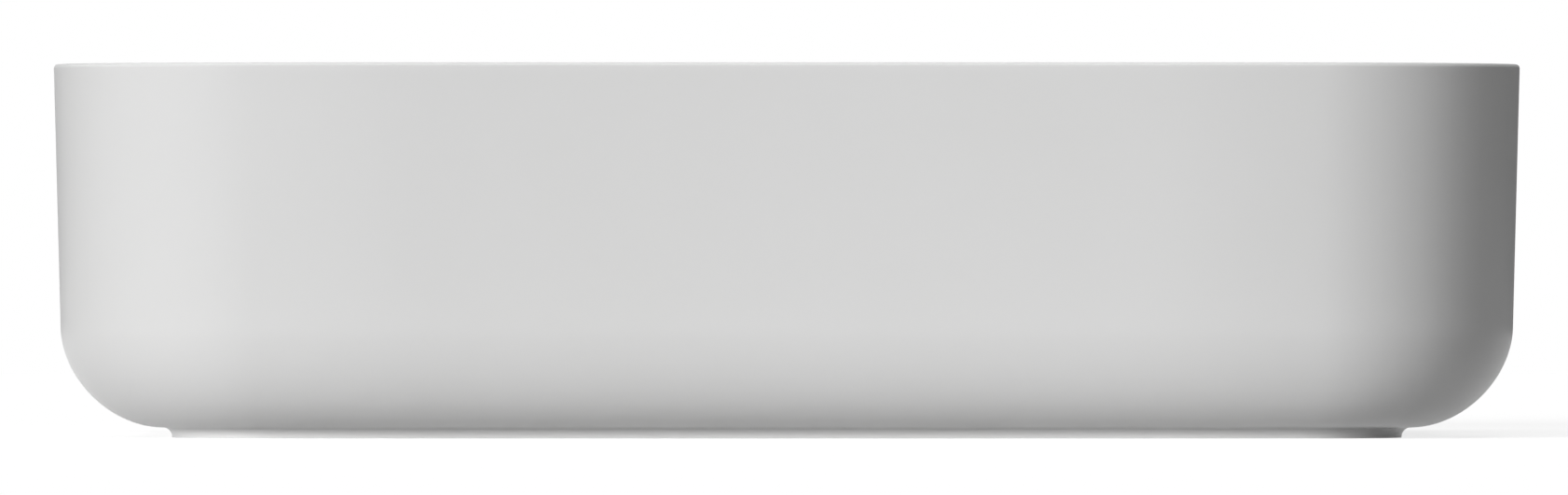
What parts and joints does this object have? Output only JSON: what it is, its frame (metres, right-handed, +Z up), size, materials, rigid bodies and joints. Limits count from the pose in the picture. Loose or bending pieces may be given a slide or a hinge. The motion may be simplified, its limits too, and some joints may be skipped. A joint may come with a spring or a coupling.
{
  "type": "semi-recessed basin",
  "caption": "White glazed ceramic semi-recessed basin with drafted walls, large lower curve and low foot, worktop ledge, tap deck, overflow and click waste with a rising plug.",
  "frame": {"origin": "centre of the plan, on the plane that the foot stands on", "axes": "+X to the basin's right as seen from the front, +Y to the back, +Z up; the front face looks along -Y"},
  "size_m": [0.55, 0.42, 0.14],
  "materials": {
    "ceramic": "glossy white glaze",
    "chrome": "polished",
    "brass": "machined",
    "steel": "drawn wire",
    "rubber": "matt",
    "white_plastic": "moulded"
  },
  "bodies": {
    "basin": {"basin_body": "ceramic", "overflow_trim_ring": "chrome", "overflow_ring_gasket": "rubber", "waste_body": "chrome", "waste_top_gasket": "rubber", "waste_bottom_gasket": "rubber", "waste_washer": "white_plastic", "waste_back_nut": "brass", "click_housing": "brass", "click_retaining_ring": "brass", "click_o_ring": "rubber", "click_spring": "steel"},
    "plug": {"plug_cap": "chrome", "plug_carrier": "white_plastic", "plug_seal": "rubber", "plug_lock_nut": "brass", "click_plunger": "brass"},
    "rotor": {"click_rotor": "white_plastic"}
  },
  "joints": [
    {"name": "plug_slide", "type": "slide", "parent": "basin", "child": "plug", "axis": [0, 0, 1], "range_m": [0, 0.008], "deforming": ["click_spring"]},
    {"name": "rotor_turn", "type": "hinge", "parent": "plug", "child": "rotor", "pos_m": [0, -0.02, 0.022], "axis": [0, 0, 1], "range_deg": [0, 45]}
  ],
  "couplings": [
    {"joint": "rotor_turn", "follows": "plug_slide", "rad_per_m": 98.17}
  ]
}
